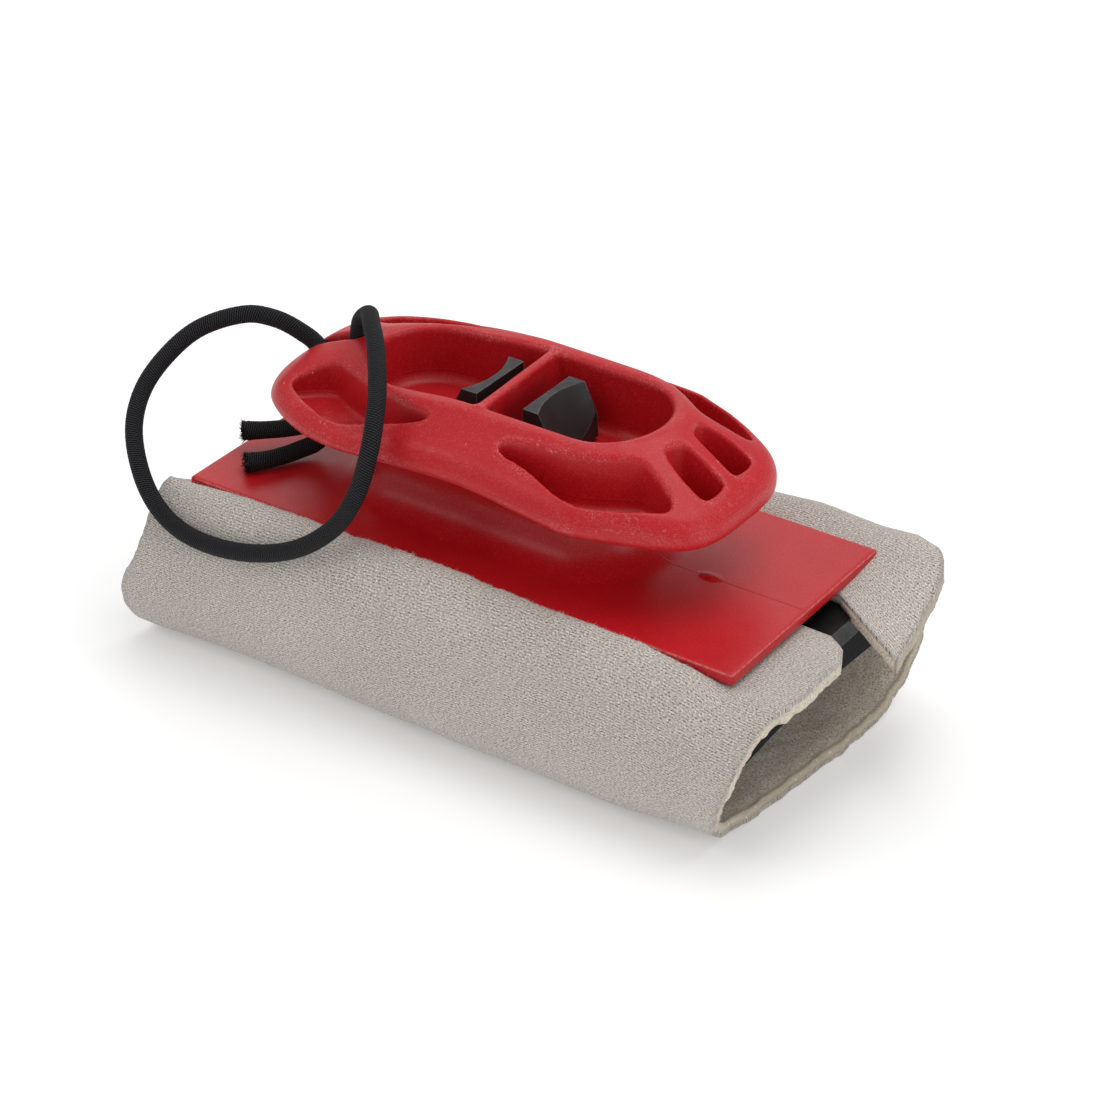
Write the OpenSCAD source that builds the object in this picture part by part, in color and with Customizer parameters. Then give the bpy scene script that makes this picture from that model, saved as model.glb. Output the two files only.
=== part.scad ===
// Cleat-handle tourniquet: a red moulded handle plate, a black snap-in clip plate with two
// release tabs, a foam-backed knit wrap clamped between them, and an elastic cord loop.
// +X runs along the plate towards the blunt tail of the cleat, +Y to the back, +Z up.
// The origin is on the rest face, under the middle of the plate. Units are millimetres.

/* [Handle plate] */
// Length of the flat plate along the limb
plate_len = 140; // [136:1:146]
// Width of the flat plate across the limb
plate_wid = 59; // [57:1:62]
// Thickness of the flat plate
plate_thick = 2.6; // [2:0.1:3]
// Height of the plate's top face over the rest face
plate_top = 40; // [39:0.5:42]

/* [Cleat] */
// Height of the cleat's underside over the plate
rim_under = 17; // [16:0.5:18]
// Height of the rim's side, from its underside to its shoulder
rim_high = 7.5; // [6:0.5:8]
// Height of the cleat's crown over the plate
crown_high = 33; // [31:0.5:34]
// Depth of the central pocket below the crown
pocket_deep = 15; // [14:0.5:15.5]
// Thickness of the cross wall between the release tabs
cross_wall = 2.4; // [2:0.1:2.6]
// Width of the cord notch in the nose
notch_wid = 4.4; // [4.2:0.1:5]

/* [Clip] */
// Length of the clip plate and its pressure pad
clip_len = 149.6; // [144:0.2:152]
// Width of the clip plate
clip_wid = 52; // [48:1:54]
// Thickness of the rigid clip plate
clip_thick = 5; // [5:0.1:5.4]
// Width of the pressure pad
pad_wid = 66; // [60:1:68]
// Thickness of the pressure pad at its middle
pad_thick = 6.6; // [5.6:0.2:7]
// How far the pad's long edges hang below its middle
pad_drop = 2.4; // [1:0.2:2.6]
// Width of a release tab
tab_wid = 17.5; // [16:0.1:17.6]
// Sideways play that the clip has taken up towards the tail
clip_shift = 1.3; // [0:0.1:1.3]

/* [Wrap] */
// Outer width of the wrap
wrap_wid = 82; // [78:1:86]
// Length of the wrap along the limb
wrap_len = 156; // [150:1:160]
// Thickness of the knit face
face_thick = 0.9; // [0.7:0.1:1]
// Thickness of the foam liner
foam_thick = 1.5; // [1.2:0.1:1.6]
// Outer radius of the wrap's four long corners
wrap_round = 13.5; // [12:0.5:14]
// Thickness of the hook strips under the plate
hook_thick = 0.6; // [0.4:0.1:0.8]

/* [Cord] */
// Diameter of the elastic cord
cord_dia = 4; // [3:0.1:4]

/* [Hidden] */
$fn = 48;
eps = 0.01;

red = [0.78, 0.17, 0.17];
black = [0.16, 0.16, 0.17];
charcoal = [0.1, 0.1, 0.1];
knit = [0.72, 0.69, 0.66];
foam = [0.5, 0.47, 0.42];

// Levels over the rest face
plate_bottom = plate_top - plate_thick;
wrap_top = plate_bottom - hook_thick;
clip_top = wrap_top - face_thick - foam_thick;
clip_bottom = clip_top - clip_thick;
cleat_bottom = plate_top + rim_under;
rim_top = cleat_bottom + rim_high;
crown_top = plate_top + crown_high;
pocket_floor = crown_top - pocket_deep;
core_floor = cleat_bottom + 2.5;

// Half outline of the cleat seen from above, nose to tail: station along X, half width
cleat_half = [[-61, 7], [-59.5, 13], [-55.5, 18.5], [-48, 23.5], [-40, 26.8], [-30, 28.8],
              [-20, 28.3], [-8, 27], [6, 26.8], [16, 27.8], [27, 28.6], [30, 27.8],
              [36, 25.2], [43, 22.2], [49.8, 19], [53.6, 14.5], [55.2, 8]];
// Half outline of the crown, the flat top round the central pocket
crown_half = [[-43, 0.6], [-41, 3], [-37, 8], [-30, 13.6], [-24, 15.8], [-14, 16.2], [6, 16.2],
              [21, 15.8], [29, 12.5], [33.5, 8], [36, 3]];
// Coring pockets on the front half: nose pocket, long side pocket and tail pocket
nose_pocket = [[-51.3, -15.3], [-46.5, -11], [-43, -9.6], [-38, -12.3], [-33, -14.3], [-20, -18],
               [-12.2, -19], [-11.8, -20.3], [-17, -22.2], [-25, -23.9], [-31, -25], [-36, -24.6],
               [-44.2, -21.2], [-49.7, -17.8]];
side_pocket = [[6.6, -20.3], [8.4, -19.3], [13.5, -18.6], [21, -18.2], [25, -17.4], [29, -15.7],
               [35.8, -11.5], [38.5, -11.8], [45.3, -13.9], [46.2, -16], [45.2, -17.4],
               [37.8, -21.9], [34, -23.5], [30, -24.9], [27, -25.4], [23, -24.8], [19, -23.6],
               [14.5, -22.4], [8.1, -21.6]];
tail_pocket = [[38.9, -5.3], [39.6, -3.2], [40.6, -2], [49.8, -1.6], [50.6, -2.7], [50.8, -6.2],
               [50.3, -8.7], [49.4, -9.5], [43.8, -9], [39, -7]];

// Central pocket: a slot with round ends
pocket_round = 13.5;
pocket_left = -24.5;
pocket_right = 20.5;
wall_mid = -2.4;

// Neck between plate and cleat: a slot shape with a flare at each end
neck_round = 12;
neck_left = -26;
neck_right = 18;
flare_round = 17;

// Clip: stations are distances from the clip's own middle, at wall_mid plus the play
clip_mid = wall_mid + clip_shift;
stem_in = 5.9;
stem_thick = 2.4;
tab_top = plate_top + 31;
tab_thick = 3.95;
hook_high = plate_top + 24.5;
hook_out = 13.5;
hook_gap = 0.3;
bead_r = 1.9;
bead_clear = 0.05;
bead_at = 7.1;
bead_z = clip_bottom + 2.4;
foot_thick = 2;
slot_out = 10.3;
slot_in = 1.5;
slot_side = tab_wid / 2 + 0.35;
scoop_deep = 2;

// Wrap
wrap_left = -80;
front_edge = 0;
back_edge = 14;
window_y = 11;
window_x = [-18, 16];
front_flap = [[74, -27], [82, -20], [82.3, -7], [80.8, -3], [78, -0.6], [74, 0]];
back_flap = [[68, 14], [92.5, -3], [92, 1], [89.6, 10.5], [86.3, 22], [83, 30], [74, 32]];

// Cord routes
loop_route = [[-53.6, -1.8, 50.5], [-53.5, -0.2, 55.2], [-54, 0, 59.5], [-55.4, 0, 63], [-57.6, -0.1, 64.9],
              [-60, -1, 66.6], [-62.4, -2.4, 68.4], [-65, -4, 69.8], [-70, -7, 70.7], [-78.2, -14, 67.8],
              [-82.6, -20.5, 62.5], [-84.3, -27, 56.5], [-82.4, -33, 50.4],
              [-77.3, -37.6, 43.3], [-71.5, -39.8, 37.5], [-64.2, -40.8, 34],
              [-54.4, -41, 33.2], [-42, -40.8, 35.5], [-31.5, -39.8, 40],
              [-22.8, -38.2, 47.5], [-18.2, -36.6, 56], [-17.2, -33, 65], [-18.7, -29, 70],
              [-21.8, -23.8, 73.2], [-29.4, -14, 77.4], [-35.8, -7, 78.2],
              [-40.3, -2, 77.2], [-43.9, -0.2, 73.8], [-44.9, 0, 68.6], [-45.6, 0, 61],
              [-46.4, -0.15, 55.8], [-48.2, -1.6, 51]];
tail_upper_route = [[-54, -4.5, 47.5], [-57, -6.2, 46.2], [-61, -8.5, 45.2], [-64.3, -10.8, 44.9],
                    [-67.6, -13.5, 44.9]];
tail_lower_route = [[-52.5, -6.5, 43.6], [-54.6, -10, 42.6], [-56.4, -14, 42.3],
                    [-58.4, -17.6, 42.3], [-61, -20.8, 42.3]];
knot_mid = [-50.5, -2.6, 48.4];
knot_size = [5.2, 4.6, 4.6];

// ---------- helpers ----------

// A closed outline from a half outline, mirrored about the X axis
function both_sides(half) =
    concat([for (p = half) [p[0], -p[1]]], [for (i = [len(half) - 1:-1:0]) half[i]]);

module slab(points, low, high) {
    translate([0, 0, low]) linear_extrude(height = high - low) polygon(points);
}

module slot_shape(left, right, r) {
    union() {
        translate([left, 0]) circle(r = r);
        translate([right, 0]) circle(r = r);
        translate([left, -r]) square([right - left, 2 * r]);
    }
}

// A tube of round section along a list of points, as one closed polyhedron
function unit(v) = v / norm(v);
function tangent(pts, i) =
    unit(pts[min(i + 1, len(pts) - 1)] - pts[max(i - 1, 0)]);
// Each ring's side vector is the last one, turned square to the new direction
function side_next(side, t) = unit(side - (side * t) * t);
function sides(pts, i = 0, last = [0.31, 0.52, 0.79]) =
    i >= len(pts) ? [] :
    let (s = side_next(last, tangent(pts, i))) concat([s], sides(pts, i + 1, s));
function ring(p, t, s, r, n) =
    let (b = cross(t, s)) [for (k = [0:n - 1]) p + r * (cos(360 * k / n) * s + sin(360 * k / n) * b)];

module tube(pts, d, n = 10) {
    frame = sides(pts);
    count = len(pts);
    rings = [for (i = [0:count - 1]) each ring(pts[i], tangent(pts, i), frame[i], d / 2, n)];
    skin = [for (i = [0:count - 2]) for (k = [0:n - 1])
            [i * n + k, i * n + (k + 1) % n, (i + 1) * n + (k + 1) % n, (i + 1) * n + k]];
    first_cap = [for (k = [n - 1:-1:0]) k];
    last_cap = [for (k = [0:n - 1]) (count - 1) * n + k];
    // Quads are split so that every face is flat
    tris = [for (q = skin) each [[q[2], q[1], q[0]], [q[3], q[2], q[0]]]];
    polyhedron(points = rings,
               faces = concat(tris,
                              [for (k = [1:n - 2]) [first_cap[0], first_cap[k + 1], first_cap[k]]],
                              [for (k = [1:n - 2]) [last_cap[0], last_cap[k + 1], last_cap[k]]]));
}

// ---------- red handle ----------

// The cleat's outline between two stations along X
module rim_slab(from, to, low, high) {
    intersection() {
        slab(both_sides(cleat_half), low, high);
        translate([from, -40, low - 1]) cube([to - from, 80, high - low + 2]);
    }
}

module cleat_blank() {
    shoulder = 2.5;
    intersection() {
        slab(both_sides(cleat_half), cleat_bottom, crown_top);
        hull() {
            // The rim is highest by the waist and falls away to both ends
            slab(both_sides(cleat_half), cleat_bottom + shoulder, rim_top - 4);
            rim_slab(-54, 53, cleat_bottom + shoulder, rim_top - 2);
            rim_slab(-36, 44, cleat_bottom + shoulder, rim_top - 0.6);
            rim_slab(-16, 22, cleat_bottom + shoulder, rim_top);
            slab(both_sides([for (p = cleat_half) [p[0] * 0.96, p[1] * 0.9]]),
                 cleat_bottom, rim_top - 4);
            // The crown is level over the tail half and sinks a little towards the nose
            slab(both_sides(crown_half), crown_top - 3, crown_top - 2);
            intersection() {
                slab(both_sides(crown_half), crown_top - 1, crown_top);
                translate([-8, -40, crown_top - 2]) cube([60, 80, 4]);
            }
        }
    }
}

module neck_blank() {
    flare = 6;
    waist_top = cleat_bottom - 5;
    hull() {
        translate([0, 0, plate_top - 1]) linear_extrude(height = 1.4)
            slot_shape(neck_left, neck_right, flare_round);
        translate([0, 0, plate_top + flare]) linear_extrude(height = 1)
            slot_shape(neck_left, neck_right, neck_round);
    }
    hull() {
        translate([0, 0, plate_top + flare]) linear_extrude(height = waist_top - plate_top - flare)
            slot_shape(neck_left, neck_right, neck_round);
        translate([0, 0, cleat_bottom]) linear_extrude(height = 1)
            slot_shape(neck_left, neck_right, flare_round);
    }
}

module central_pocket() {
    difference() {
        translate([0, 0, pocket_floor]) linear_extrude(height = crown_top)
            slot_shape(pocket_left, pocket_right, pocket_round);
        translate([wall_mid - cross_wall / 2, -pocket_round - 1, pocket_floor - 1])
            cube([cross_wall, 2 * pocket_round + 2, crown_top]);
    }
}

module stem_slots() {
    for (side = [-1, 1])
        translate([side > 0 ? wall_mid + slot_in : wall_mid - slot_out, -slot_side,
                   plate_bottom - 1])
            cube([slot_out - slot_in, 2 * slot_side, pocket_floor - plate_bottom + 2]);
}

module cord_notch() {
    notch_end = -44.8;
    translate([notch_end, 0, cleat_bottom - 1]) cylinder(d = notch_wid, h = crown_top);
    translate([-70, -notch_wid / 2, cleat_bottom - 1])
        cube([notch_end + 70, notch_wid, crown_top]);
}

module handle_body() {
    color(red) difference() {
        union() {
            translate([-plate_len / 2, -plate_wid / 2, plate_bottom])
                cube([plate_len, plate_wid, plate_thick]);
            neck_blank();
            cleat_blank();
        }
        central_pocket();
        stem_slots();
        cord_notch();
        for (half = [0, 1]) mirror([0, half, 0]) {
            slab(nose_pocket, core_floor, crown_top + 1);
            slab(side_pocket, core_floor, crown_top + 1);
            slab(tail_pocket, core_floor, crown_top + 1);
        }
    }
}

// ---------- black clip ----------

module clip_plate() {
    color(black) difference() {
        translate([-clip_len / 2, -clip_wid / 2, clip_bottom])
            cube([clip_len, clip_wid, clip_thick]);
        for (side = [-1, 1]) {
            // Socket for the tab's root bead, and the slot above it that the stem leaves by
            translate([clip_mid + side * bead_at, 0, bead_z]) rotate([90, 0, 0])
                cylinder(r = bead_r + bead_clear, h = 2 * slot_side, center = true);
            translate([clip_mid + side * bead_at - 1.5, -slot_side, bead_z])
                cube([3, 2 * slot_side, clip_thick]);
        }
    }
}

// The pad is wider than the clip plate, bevelled above and hollowed below for the limb
module pressure_pad() {
    inset = 0.4;
    bevel = 4;
    half = pad_wid / 2;
    under = [for (i = [-6:6]) [i / 6 * half, -pad_thick - pad_drop * pow(i / 6, 2)]];
    color(charcoal) translate([-clip_len / 2 + inset, 0, clip_bottom])
        rotate([90, 0, 90]) linear_extrude(height = clip_len - 2 * inset)
            polygon(concat(under, [[half, -bevel - 1], [half - bevel, 0], [bevel - half, 0],
                                   [-half, -bevel - 1]]));
}

// One tab on the +X side of the clip's middle: bead, stem and wedge-shaped head
module release_tab() {
    ledge = pocket_floor + hook_gap;
    head = [[stem_in, ledge - 0.4], [stem_in, tab_top], [stem_in + tab_thick, tab_top],
            [hook_out - 0.4, hook_high], [hook_out, ledge + 0.6], [hook_out - 0.6, ledge],
            [stem_in + stem_thick, ledge], [stem_in + stem_thick, ledge - 0.4]];
    slope = atan2(hook_out - stem_in - tab_thick, tab_top - hook_high);
    scoop_r = (pow(tab_wid / 2, 2) + scoop_deep * scoop_deep) / (2 * scoop_deep);
    color(black) difference() {
        union() {
            translate([0, tab_wid / 2, 0]) rotate([90, 0, 0]) linear_extrude(height = tab_wid)
                polygon(head);
            translate([stem_in, -tab_wid / 2, clip_top + 0.6])
                cube([stem_thick, tab_wid, ledge - clip_top - 0.8]);
            translate([bead_at - foot_thick / 2, -tab_wid / 2, bead_z])
                cube([foot_thick, tab_wid, clip_top + 1 - bead_z]);
            translate([bead_at, 0, bead_z]) rotate([90, 0, 0])
                cylinder(r = bead_r, h = tab_wid, center = true);
        }
        // Thumb scoop down the sloping outer face
        translate([stem_in + tab_thick, 0, tab_top]) rotate([0, 180 - slope, 0])
            translate([-scoop_r + scoop_deep, 0, -12])
                cylinder(r = scoop_r, h = 30, $fn = 96);
    }
}

module release_tab_right() {
    translate([clip_mid, 0, 0]) release_tab();
}

module release_tab_left() {
    translate([clip_mid, 0, 0]) mirror([1, 0, 0]) release_tab();
}

// ---------- wrap ----------

module hook_strip_front() {
    color(charcoal) translate([-62, -27, wrap_top]) cube([124, 13, hook_thick]);
}

module hook_strip_back() {
    color(charcoal) translate([-62, 16, wrap_top]) cube([124, 11, hook_thick]);
}

module round_box(wid, high, r) {
    translate([-wid / 2, r]) square([wid, high - 2 * r]);
    translate([-wid / 2 + r, 0]) square([wid - 2 * r, high]);
    for (x = [-1, 1]) for (y = [r, high - r]) translate([x * (wid / 2 - r), y]) circle(r = r);
}

// One layer of the wrap: a C section along X, a flap that reaches past each corner of its
// right end, and a window in the flaps for the release tabs
module wrap_layer(out, thick) {
    top = wrap_top - out;
    difference() {
        union() {
            translate([wrap_left, 0, out]) rotate([90, 0, 90]) linear_extrude(height = wrap_len)
                difference() {
                    round_box(wrap_wid - 2 * out, wrap_top - 2 * out, wrap_round - out);
                    translate([0, thick])
                        round_box(wrap_wid - 2 * (out + thick), wrap_top - 2 * (out + thick),
                                  wrap_round - out - thick);
                    translate([front_edge, wrap_top / 2])
                        square([back_edge - front_edge, wrap_top]);
                }
            slab(front_flap, top - thick, top);
            slab(back_flap, top - thick, top);
        }
        translate([window_x[0], -window_y, wrap_top / 2])
            cube([window_x[1] - window_x[0], 2 * window_y, wrap_top]);
    }
}

module wrap_face() {
    color(knit) wrap_layer(0, face_thick);
}

module wrap_foam() {
    color(foam) wrap_layer(face_thick, foam_thick);
}

// ---------- cord ----------

module cord_loop() {
    color(charcoal) tube(loop_route, cord_dia);
}

module cord_knot() {
    color(charcoal) translate(knot_mid) scale(knot_size) sphere(r = 1, $fn = 12);
}

module cord_tail_upper() {
    color(charcoal) tube(tail_upper_route, cord_dia);
}

module cord_tail_lower() {
    color(charcoal) tube(tail_lower_route, cord_dia);
}

handle_body();
clip_plate();
pressure_pad();
release_tab_left();
release_tab_right();
hook_strip_front();
hook_strip_back();
wrap_face();
wrap_foam();
cord_loop();
cord_knot();
cord_tail_upper();
cord_tail_lower();
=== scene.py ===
"""Looks of the cleat-handle tourniquet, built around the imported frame.

Lengths below are millimetres in the frame's own axes unless a name says otherwise:
+X along the plate towards the blunt tail, +Y to the back, +Z up. mm() turns them to metres.
"""

import math

import bpy
import numpy as np
from mathutils import Matrix, Vector


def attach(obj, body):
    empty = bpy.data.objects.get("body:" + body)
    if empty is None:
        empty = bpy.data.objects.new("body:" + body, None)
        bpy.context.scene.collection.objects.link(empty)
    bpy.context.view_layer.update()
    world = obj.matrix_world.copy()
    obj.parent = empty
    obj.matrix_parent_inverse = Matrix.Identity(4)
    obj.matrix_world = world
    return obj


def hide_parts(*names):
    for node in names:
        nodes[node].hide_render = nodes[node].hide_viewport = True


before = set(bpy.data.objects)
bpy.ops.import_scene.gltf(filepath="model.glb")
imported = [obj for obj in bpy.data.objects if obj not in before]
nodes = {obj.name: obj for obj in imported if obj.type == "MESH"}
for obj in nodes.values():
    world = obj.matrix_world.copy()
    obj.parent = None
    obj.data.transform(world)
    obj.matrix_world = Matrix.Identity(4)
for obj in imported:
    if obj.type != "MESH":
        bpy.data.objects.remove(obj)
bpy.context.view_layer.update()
MM = 0.001
# The red plate: half its length and width, and the heights of its middle, its top and the crown above it
PLATE_HALF_X, PLATE_HALF_Y = 70, 29.5
PLATE_MID, PLATE_HALF_THICK = 38.7, 1.3
PLATE_TOP = 40.0
CROWN = 73.0


def mm(points):
    return np.asarray(points, float) * MM


# ---------------- camera


def make_camera():
    data = bpy.data.cameras.new("camera")
    data.sensor_width = 36.0
    data.lens = 105.84
    data.shift_x = 0.0205
    data.shift_y = -0.0343
    data.clip_start = 0.01
    data.clip_end = 20
    cam = bpy.data.objects.new("camera", data)
    bpy.context.scene.collection.objects.link(cam)
    az = math.radians(34.61)
    el = math.radians(30.77)
    distance = 0.70
    aim = Vector((0, 0, 0.040))
    toward = Vector((math.sin(az) * math.cos(el), -math.cos(az) * math.cos(el), math.sin(el)))
    right = Vector((math.cos(az), math.sin(az), 0))
    up = toward.cross(right)
    rot = Matrix((right, up, toward)).transposed().to_4x4()
    rot.translation = aim + toward * distance
    cam.matrix_world = rot
    bpy.context.scene.camera = cam


make_camera()

# ---------------- small tools


def new_object(name, mesh):
    obj = bpy.data.objects.new(name, mesh)
    bpy.context.scene.collection.objects.link(obj)
    return obj


def mesh_from(name, verts, faces, normals=None):
    """A smooth-shaded mesh from vertex and quad or triangle arrays, in metres."""
    mesh = bpy.data.meshes.new(name)
    verts = np.asarray(verts, np.float32)
    faces = np.asarray(faces, np.int32)
    n, k = faces.shape
    mesh.vertices.add(len(verts))
    mesh.vertices.foreach_set("co", verts.ravel())
    mesh.loops.add(n * k)
    mesh.loops.foreach_set("vertex_index", faces.ravel())
    mesh.polygons.add(n)
    mesh.polygons.foreach_set("loop_start", np.arange(0, n * k, k, dtype=np.int32))
    mesh.polygons.foreach_set("use_smooth", np.full(n, True))
    mesh.update(calc_edges=True)
    mesh.validate()
    if normals is not None:
        mesh.normals_split_custom_set_from_vertices(np.asarray(normals, float).tolist())
    return mesh


def float_attribute(mesh, name, values):
    a = mesh.attributes.new(name, "FLOAT", "POINT")
    a.data.foreach_set("value", np.asarray(values, np.float32))


def smoothstep(a, b, x):
    """0 at a, 1 at b; a may be the larger."""
    t = np.clip((np.asarray(x, float) - a) / (b - a), 0, 1)
    return t * t * (3 - 2 * t)


def spline(points, count, closed=False):
    """Points spaced evenly along a centripetal Catmull-Rom curve through the given points."""
    p = np.asarray(points, float)
    if closed:
        p = np.vstack([p[-1], p, p[0], p[1]])
    else:
        p = np.vstack([2 * p[0] - p[1], p, 2 * p[-1] - p[-2]])
    out = []
    for i in range(1, len(p) - 2):
        p0, p1, p2, p3 = p[i - 1 : i + 3]
        t0 = 0.0
        t1 = t0 + max(np.linalg.norm(p1 - p0), 1e-9) ** 0.5
        t2 = t1 + max(np.linalg.norm(p2 - p1), 1e-9) ** 0.5
        t3 = t2 + max(np.linalg.norm(p3 - p2), 1e-9) ** 0.5
        t = np.linspace(t1, t2, 25)[:, None]
        a1 = (t1 - t) / (t1 - t0) * p0 + (t - t0) / (t1 - t0) * p1
        a2 = (t2 - t) / (t2 - t1) * p1 + (t - t1) / (t2 - t1) * p2
        a3 = (t3 - t) / (t3 - t2) * p2 + (t - t2) / (t3 - t2) * p3
        b1 = (t2 - t) / (t2 - t0) * a1 + (t - t0) / (t2 - t0) * a2
        b2 = (t3 - t) / (t3 - t1) * a2 + (t - t1) / (t3 - t1) * a3
        c = (t2 - t) / (t2 - t1) * b1 + (t - t1) / (t2 - t1) * b2
        out.append(c if i == len(p) - 3 else c[:-1])
    line = np.vstack(out)
    step = np.linalg.norm(np.diff(line, axis=0), axis=1)
    s = np.concatenate([[0], np.cumsum(step)])
    want = np.linspace(0, s[-1], count)
    return np.stack([np.interp(want, s, line[:, k]) for k in range(line.shape[1])], 1)


def hash_noise(u, seed):
    """Smooth repeatable noise in one variable, about -1 to 1."""
    rng = np.random.default_rng(seed)
    k = rng.uniform(-1, 1, 512)
    i = np.floor(u).astype(int)
    f = u - i
    f = f * f * (3 - 2 * f)
    return k[i % 512] * (1 - f) + k[(i + 1) % 512] * f


# ---------------- materials


class Nodes:
    """A short way to write node trees: m("ShaderNodeX", {input: value or socket}, prop=value)."""

    def __init__(self, name):
        self.mat = bpy.data.materials.new(name)
        self.mat.use_nodes = True
        self.tree = self.mat.node_tree
        self.tree.nodes.clear()
        self.out = self.tree.nodes.new("ShaderNodeOutputMaterial")

    def __call__(self, kind, inputs=None, **props):
        n = self.tree.nodes.new("ShaderNode" + kind)
        for k, v in props.items():
            setattr(n, k, v)
        for k, v in (inputs or {}).items():
            sock = n.inputs[k]
            if isinstance(v, bpy.types.NodeSocket):
                self.tree.links.new(v, sock)
            else:
                sock.default_value = v
        return n

    def ramp(self, fac, stops):
        n = self("ValToRGB", {"Fac": fac})
        e = n.color_ramp.elements
        while len(e) < len(stops):
            e.new(0.5)
        for el, (pos, col) in zip(e, stops):
            el.position = pos
            el.color = (*col, 1) if len(col) == 3 else col
        return n.outputs["Color"]

    def span(self, value, a, b, lo=0.0, hi=1.0):
        n = self("MapRange", {"Value": value, "From Min": a, "From Max": b, "To Min": lo, "To Max": hi})
        return n.outputs["Result"]

    def math(self, op, a, b=0.0):
        return self("Math", {0: a, 1: b}, operation=op).outputs[0]

    def add(self, a, b):
        return self.math("ADD", a, b)

    def less(self, a, b):
        return self.math("SUBTRACT", a, b)

    def times(self, a, b):
        return self.math("MULTIPLY", a, b)

    def larger(self, a, b):
        return self.math("MAXIMUM", a, b)

    def size(self, a):
        return self.math("ABSOLUTE", a)

    def sine(self, a):
        return self.math("SINE", a)

    def attribute(self, name):
        return self("Attribute", attribute_name=name, attribute_type="GEOMETRY").outputs["Fac"]

    def mix(self, fac, a, b):
        n = self("Mix", data_type="RGBA")
        for sock, v in ((n.inputs[0], fac), (n.inputs[6], a), (n.inputs[7], b)):
            if isinstance(v, bpy.types.NodeSocket):
                self.tree.links.new(v, sock)
            else:
                sock.default_value = v if not isinstance(v, tuple) or len(v) == 4 else (*v, 1)
        return n.outputs[2]

    def noise(self, vec, scale, detail=2.0, rough=0.5):
        n = self("TexNoise", {"Vector": vec, "Scale": scale, "Detail": detail, "Roughness": rough})
        return n.outputs["Fac"]

    def bump(self, height, strength, distance, under=None):
        ins = {"Height": height, "Strength": strength, "Distance": distance}
        if under is not None:
            ins["Normal"] = under
        return self("Bump", ins).outputs["Normal"]

    def surface(self, inputs):
        shader = self("BsdfPrincipled", inputs)
        self.tree.links.new(shader.outputs[0], self.out.inputs["Surface"])
        return self.mat


def red_plastic():
    m = Nodes("red_satin")
    co = m("TexCoord").outputs["Object"]
    worn = m.attribute("worn")
    at = m("SeparateXYZ", {"Vector": co}).outputs
    big = m.noise(co, 60, 3, 0.6)
    base = m.ramp(big, [(0.3, (0.52, 0.005, 0.010)), (0.7, (0.59, 0.008, 0.014))])
    # A fine mottle, from the texture of the mould and from dust in it
    grain = m.span(m.noise(co, 2500, 3, 0.8), 0.34, 0.66)
    base = m.mix(m.times(m.less(1.0, grain), 0.34), base, (0.30, 0.002, 0.005, 1))
    base = m.mix(m.times(m.span(grain, 0.55, 1.0), 0.26), base, (0.80, 0.10, 0.10, 1))
    # Fine bloom and small scuffs where the moulding is touched
    speck = m.noise(co, 3400, 2, 0.6)
    patch = m.noise(co, 170, 4, 0.65)
    bloom = m.times(m.span(speck, 0.52, 0.66), m.span(patch, 0.42, 0.62))
    scratch = m.span(m.noise(co, 1300, 4, 0.7), 0.58, 0.70)
    scuff = m.times(scratch, m.span(m.noise(co, 90, 3, 0.6), 0.48, 0.62))
    marks = m.larger(m.times(bloom, 0.38), m.times(scuff, 0.6))
    marks = m.times(marks, worn)
    # The plate's top edges are rubbed pale in places, and a few specks lie on it
    past_end = m.less(m.size(at["X"]), PLATE_HALF_X * MM)
    past_side = m.less(m.size(at["Y"]), PLATE_HALF_Y * MM)
    inset = m.larger(past_end, past_side)
    rub = m.times(m.span(inset, -0.00040, -0.00015), m.span(at["Z"], 0.0395, 0.0398))
    rub = m.times(rub, m.span(at["Z"], 0.0405, 0.0402))
    line = m.times(m.times(rub, 0.45), m.span(m.noise(co, 900, 4, 0.8), 0.36, 0.62))
    dots = m("TexVoronoi", {"Vector": co, "Scale": 230.0})
    pick = m.span(m("SeparateColor", {"Color": dots.outputs["Color"]}).outputs[0], 0.90, 0.93)
    dots = m.times(m.span(dots.outputs["Distance"], 0.07, 0.03), m.times(pick, 0.6))
    marks = m.larger(marks, m.larger(line, dots))
    col = m.mix(marks, base, (0.74, 0.36, 0.36, 1))
    # Parting lines: along the middle of the plate's tail end, and round the rim's side
    mid_line = m.span(m.size(at["Y"]), 0.00022, 0.00006)
    mid_line = m.times(mid_line, m.span(at["X"], 0.0295, 0.0305))
    mid_line = m.times(mid_line, m.span(at["Z"], 0.0415, 0.0405))
    rim_z = m.size(m.less(at["Z"], 0.0606))
    rim_line = m.times(m.span(rim_z, 0.00022, 0.00006), 0.5)
    seam = m.larger(mid_line, rim_line)
    col = m.mix(m.times(seam, 0.25), col, (0.22, 0.002, 0.006, 1))
    rough = m.span(m.noise(co, 300, 3, 0.6), 0.3, 0.7, 0.31, 0.39)
    rough = m.add(rough, m.span(at["Z"], 0.056, 0.060, 0.0, 0.08))
    fine = m.noise(co, 1900, 3, 0.6)
    mid = m.noise(co, 260, 2, 0.5)
    n1 = m.bump(mid, 0.2, 0.0001)
    n2 = m.bump(fine, 0.35, 0.00004, n1)
    n3 = m.bump(seam, 0.7, 0.00012, n2)
    return m.surface({"Base Color": col, "Roughness": rough, "Normal": n3, "IOR": 1.43})


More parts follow.
